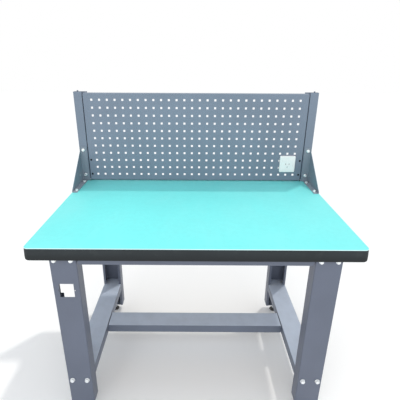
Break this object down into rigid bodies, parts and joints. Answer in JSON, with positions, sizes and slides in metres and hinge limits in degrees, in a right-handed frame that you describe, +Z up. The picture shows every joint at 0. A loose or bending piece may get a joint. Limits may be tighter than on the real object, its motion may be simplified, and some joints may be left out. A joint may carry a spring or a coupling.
{
  "type": "workbench",
  "caption": "Workbench with a mat-covered top on bolted, folded steel legs with levelling feet, and an upright perforated tool panel along its back with a wall-type socket.",
  "frame": {"origin": "on the floor, under the middle of the top", "axes": "+Z up, +X to the right and +Y to the back as seen from where the user stands"},
  "size_m": [1.2, 0.75, 1.259],
  "materials": {
    "mat": "satin",
    "board": "matte",
    "edge_band": "satin",
    "frame_paint": "satin",
    "panel_paint": "satin",
    "zinc": "bright",
    "foot_plastic": "matte",
    "socket_white": "gloss",
    "box_steel": "matte"
  },
  "bodies": {
    "bench": {"cross_bolt_left_front": "zinc", "cross_bolt_left_rear": "zinc", "cross_bolt_right_front": "zinc", "cross_bolt_right_rear": "zinc", "edge_band": "edge_band", "foot_bolt_left_far": "zinc", "foot_bolt_left_near": "zinc", "foot_bolt_right_far": "zinc", "foot_bolt_right_near": "zinc", "foot_lock_nut_front_left": "zinc", "foot_lock_nut_front_right": "zinc", "foot_lock_nut_rear_left": "zinc", "foot_lock_nut_rear_right": "zinc", "front_top_beam": "frame_paint", "gusset_bolt_left_high": "zinc", "gusset_bolt_left_low": "zinc", "gusset_bolt_right_high": "zinc", "gusset_bolt_right_low": "zinc", "gusset_left": "frame_paint", "gusset_right": "frame_paint", "leg_front_left": "frame_paint", "leg_front_right": "frame_paint", "leg_rear_left": "frame_paint", "leg_rear_right": "frame_paint", "lower_cross_beam": "frame_paint", "lower_side_rail_left": "frame_paint", "lower_side_rail_right": "frame_paint", "pegboard_panel": "panel_paint", "rail_bolt_front_left_left": "zinc", "rail_bolt_front_left_right": "zinc", "rail_bolt_front_right_left": "zinc", "rail_bolt_front_right_right": "zinc", "rail_bolt_rear_left_left": "zinc", "rail_bolt_rear_left_right": "zinc", "rail_bolt_rear_right_left": "zinc", "rail_bolt_rear_right_right": "zinc", "rear_top_beam": "frame_paint", "socket_back_box": "box_steel", "socket_plate": "socket_white", "socket_screw_left": "zinc", "socket_screw_right": "zinc", "top_bolt_front_left_left": "zinc", "top_bolt_front_left_right": "zinc", "top_bolt_front_right_left": "zinc", "top_bolt_front_right_right": "zinc", "top_bolt_rear_left_left": "zinc", "top_bolt_rear_left_right": "zinc", "top_bolt_rear_right_left": "zinc", "top_bolt_rear_right_right": "zinc", "upper_side_rail_left": "frame_paint", "upper_side_rail_right": "frame_paint", "upright_left": "panel_paint", "upright_right": "panel_paint", "worktop_core": "board", "worktop_mat": "mat"},
    "foot_front_left": {"levelling_foot_front_left": "foot_plastic"},
    "foot_front_right": {"levelling_foot_front_right": "foot_plastic"},
    "foot_rear_left": {"levelling_foot_rear_left": "foot_plastic"},
    "foot_rear_right": {"levelling_foot_rear_right": "foot_plastic"}
  },
  "joints": [
    {"name": "level_front_left", "type": "slide", "parent": "bench", "child": "foot_front_left", "axis": [0, 0, -1], "range_m": [-0.02, 0.02]},
    {"name": "level_front_right", "type": "slide", "parent": "bench", "child": "foot_front_right", "axis": [0, 0, -1], "range_m": [-0.02, 0.02]},
    {"name": "level_rear_left", "type": "slide", "parent": "bench", "child": "foot_rear_left", "axis": [0, 0, -1], "range_m": [-0.02, 0.02]},
    {"name": "level_rear_right", "type": "slide", "parent": "bench", "child": "foot_rear_right", "axis": [0, 0, -1], "range_m": [-0.02, 0.02]}
  ]
}
